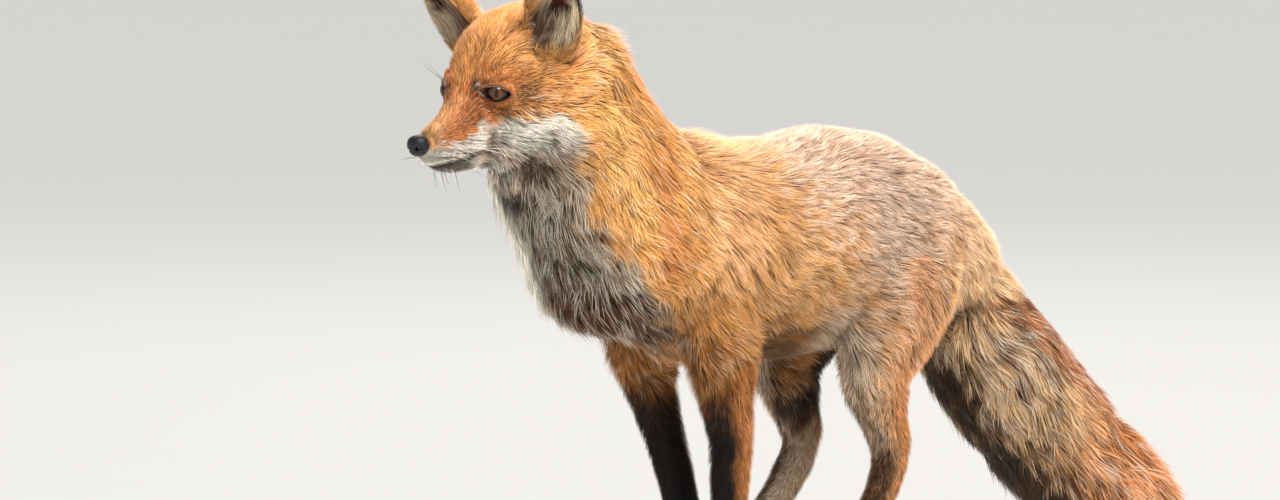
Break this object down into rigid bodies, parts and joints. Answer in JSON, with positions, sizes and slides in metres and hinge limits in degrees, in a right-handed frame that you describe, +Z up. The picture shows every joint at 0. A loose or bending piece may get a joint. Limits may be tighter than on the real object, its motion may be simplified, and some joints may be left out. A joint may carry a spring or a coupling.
{
  "type": "red fox",
  "caption": "Life-size red fox standing on four paws with its brush down to the floor, a still animal model",
  "frame": {"origin": "on the floor, under the middle of the animal's box", "axes": "+Z up; the fox faces -Y and its brush points to +Y; its left side is towards +X"},
  "size_m": [0.1758, 0.874, 0.526],
  "materials": {
    "coat_rust": "orange-brown fox fur",
    "coat_saddle": "short frosted tan fur",
    "coat_cream": "white and grey fur",
    "coat_dark": "black-brown fur",
    "coat_brush": "long tan and dark fur",
    "nose_leather": "moist black nose leather",
    "eye_glass": "amber eye with a wet shine",
    "claw_horn": "dark horn"
  },
  "bodies": {
    "root": {"head": "coat_rust", "muzzle": "coat_rust", "lower_jaw": "coat_cream", "nose": "nose_leather", "eye_left": "eye_glass", "eye_right": "eye_glass", "ear_left": "coat_dark", "ear_right": "coat_dark", "neck": "coat_rust", "trunk": "coat_saddle", "rump": "coat_saddle", "brush_root": "coat_brush", "brush_middle": "coat_brush", "brush_end": "coat_brush", "brush_tip": "coat_cream", "fore_leg_left": "coat_rust", "fore_shin_left": "coat_dark", "fore_paw_left": "coat_dark", "fore_leg_right": "coat_rust", "fore_shin_right": "coat_dark", "fore_paw_right": "coat_dark", "thigh_left": "coat_rust", "hind_shank_left": "coat_rust", "hind_foot_left": "coat_rust", "hind_paw_left": "coat_dark", "thigh_right": "coat_rust", "hind_shank_right": "coat_rust", "hind_foot_right": "coat_rust", "hind_paw_right": "coat_dark"}
  },
  "joints": []
}
